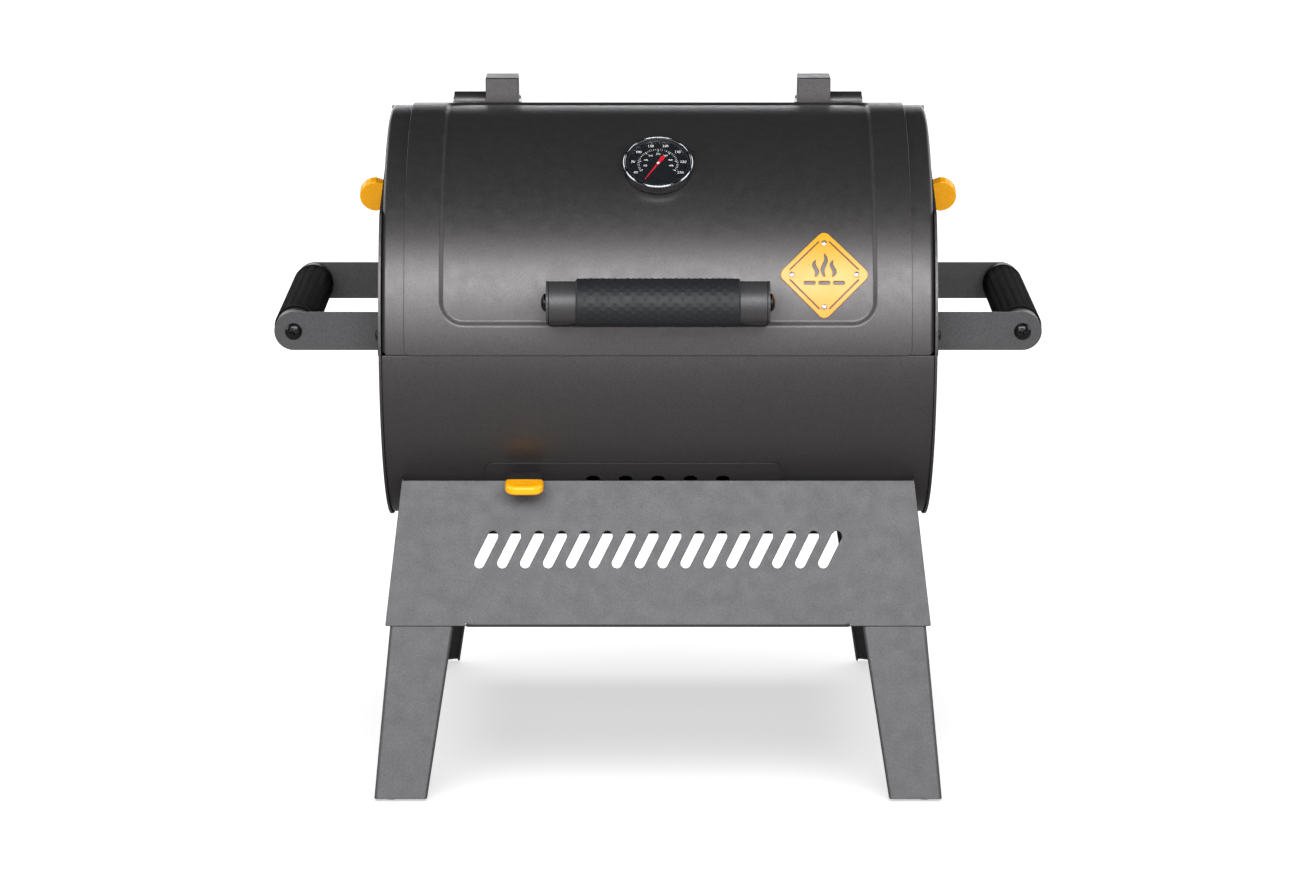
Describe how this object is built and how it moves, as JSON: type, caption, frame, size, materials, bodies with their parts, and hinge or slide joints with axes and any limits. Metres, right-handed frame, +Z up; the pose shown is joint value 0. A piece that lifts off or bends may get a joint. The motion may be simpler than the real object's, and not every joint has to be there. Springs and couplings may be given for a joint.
{
  "type": "tabletop barrel charcoal grill",
  "caption": "Small horizontal barrel grill for charcoal with a hinged lid, dial thermometer, end dampers, air slider, carry handles and a folded sheet stand.",
  "frame": {"origin": "centre of the overall box at the level that the feet stand on", "axes": "+X to the right along the drum, +Y to the rear where the hinges are, +Z up; the lid handle faces -Y"},
  "size_m": [0.663, 0.4688, 0.5866],
  "materials": {
    "body_paint": "fine textured powder coat, dark grey",
    "lid_paint": "fine textured powder coat, dark grey",
    "stand_paint": "fine textured powder coat, mid grey",
    "rubber": "matt black",
    "yellow_moulding": "satin moulded",
    "badge_plate": "satin yellow enamel",
    "chrome": "polished",
    "dial_face": "matt black print",
    "clear_glass": "clear",
    "needle_paint": "red lacquer",
    "zinc_steel": "zinc plated",
    "black_steel": "black oxide",
    "cast_iron": "seasoned"
  },
  "bodies": {
    "body": {"drum_shell": "body_paint", "body_end_left": "body_paint", "body_end_right": "body_paint", "base_panel_front": "stand_paint", "base_panel_rear": "stand_paint", "base_side_left": "stand_paint", "base_side_right": "stand_paint", "leg_front_left": "stand_paint", "leg_front_right": "stand_paint", "leg_rear_left": "stand_paint", "leg_rear_right": "stand_paint", "side_bar_front_left": "stand_paint", "side_bar_front_right": "stand_paint", "side_bar_rear_left": "stand_paint", "side_bar_rear_right": "stand_paint", "side_tube_left": "stand_paint", "side_tube_right": "stand_paint", "hinge_barrel_left": "stand_paint", "hinge_barrel_right": "stand_paint", "foot_front_left": "rubber", "foot_front_right": "rubber", "foot_rear_left": "rubber", "foot_rear_right": "rubber", "side_grip_left": "rubber", "side_grip_right": "rubber", "side_screw_front_left": "black_steel", "side_screw_front_right": "black_steel", "side_screw_rear_left": "black_steel", "side_screw_rear_right": "black_steel", "slider_rivet_left": "black_steel", "slider_rivet_right": "black_steel", "damper_rivet_left": "black_steel", "damper_rivet_right": "black_steel"},
    "lid": {"lid_shell": "lid_paint", "lid_end_left": "lid_paint", "lid_end_right": "lid_paint", "hinge_bracket_left": "stand_paint", "hinge_bracket_right": "stand_paint", "hinge_pin_left": "zinc_steel", "hinge_pin_right": "zinc_steel", "handle_bracket_left": "stand_paint", "handle_bracket_right": "stand_paint", "handle_tube": "stand_paint", "handle_grip": "rubber", "handle_screw_left": "black_steel", "handle_screw_right": "black_steel", "thermometer_case": "chrome", "thermometer_dial": "dial_face", "thermometer_glass": "clear_glass", "thermometer_nut": "zinc_steel", "badge_plate": "badge_plate"},
    "needle": {"thermometer_needle": "needle_paint"},
    "air_slider": {"air_slider": "stand_paint", "slider_grip": "yellow_moulding"},
    "damper_left": {"damper_left": "body_paint", "damper_grip_left": "yellow_moulding"},
    "damper_right": {"damper_right": "body_paint", "damper_grip_right": "yellow_moulding"},
    "cooking_grate": {"cooking_grate": "cast_iron"},
    "charcoal_tray": {"charcoal_tray": "zinc_steel"}
  },
  "joints": [
    {"name": "lid_hinge", "type": "hinge", "parent": "body", "child": "lid", "pos_m": [0, 0.08144, 0.56205], "axis": [-1, 0, 0], "range_deg": [0, 110]},
    {"name": "thermometer_needle_turn", "type": "hinge", "parent": "lid", "child": "needle", "pos_m": [0, -0.10364, 0.53496], "axis": [0, 0.6115, -0.7912], "range_deg": [0, 270], "stiffness_Nm_per_rad": 0.001},
    {"name": "air_slider_slide", "type": "slide", "parent": "body", "child": "air_slider", "axis": [1, 0, 0], "range_m": [0, 0.014]},
    {"name": "damper_left_turn", "type": "hinge", "parent": "body", "child": "damper_left", "pos_m": [0, 0.01071, 0.469], "axis": [1, 0, 0], "range_deg": [0, 36]},
    {"name": "damper_right_turn", "type": "hinge", "parent": "body", "child": "damper_right", "pos_m": [0, 0.01071, 0.469], "axis": [1, 0, 0], "range_deg": [0, 36]},
    {"name": "cooking_grate_lift", "type": "slide", "parent": "body", "child": "cooking_grate", "axis": [0, 0, 1], "range_m": [0, 0.06]},
    {"name": "charcoal_tray_lift", "type": "slide", "parent": "body", "child": "charcoal_tray", "axis": [0, 0, 1], "range_m": [0, 0.045]}
  ]
}
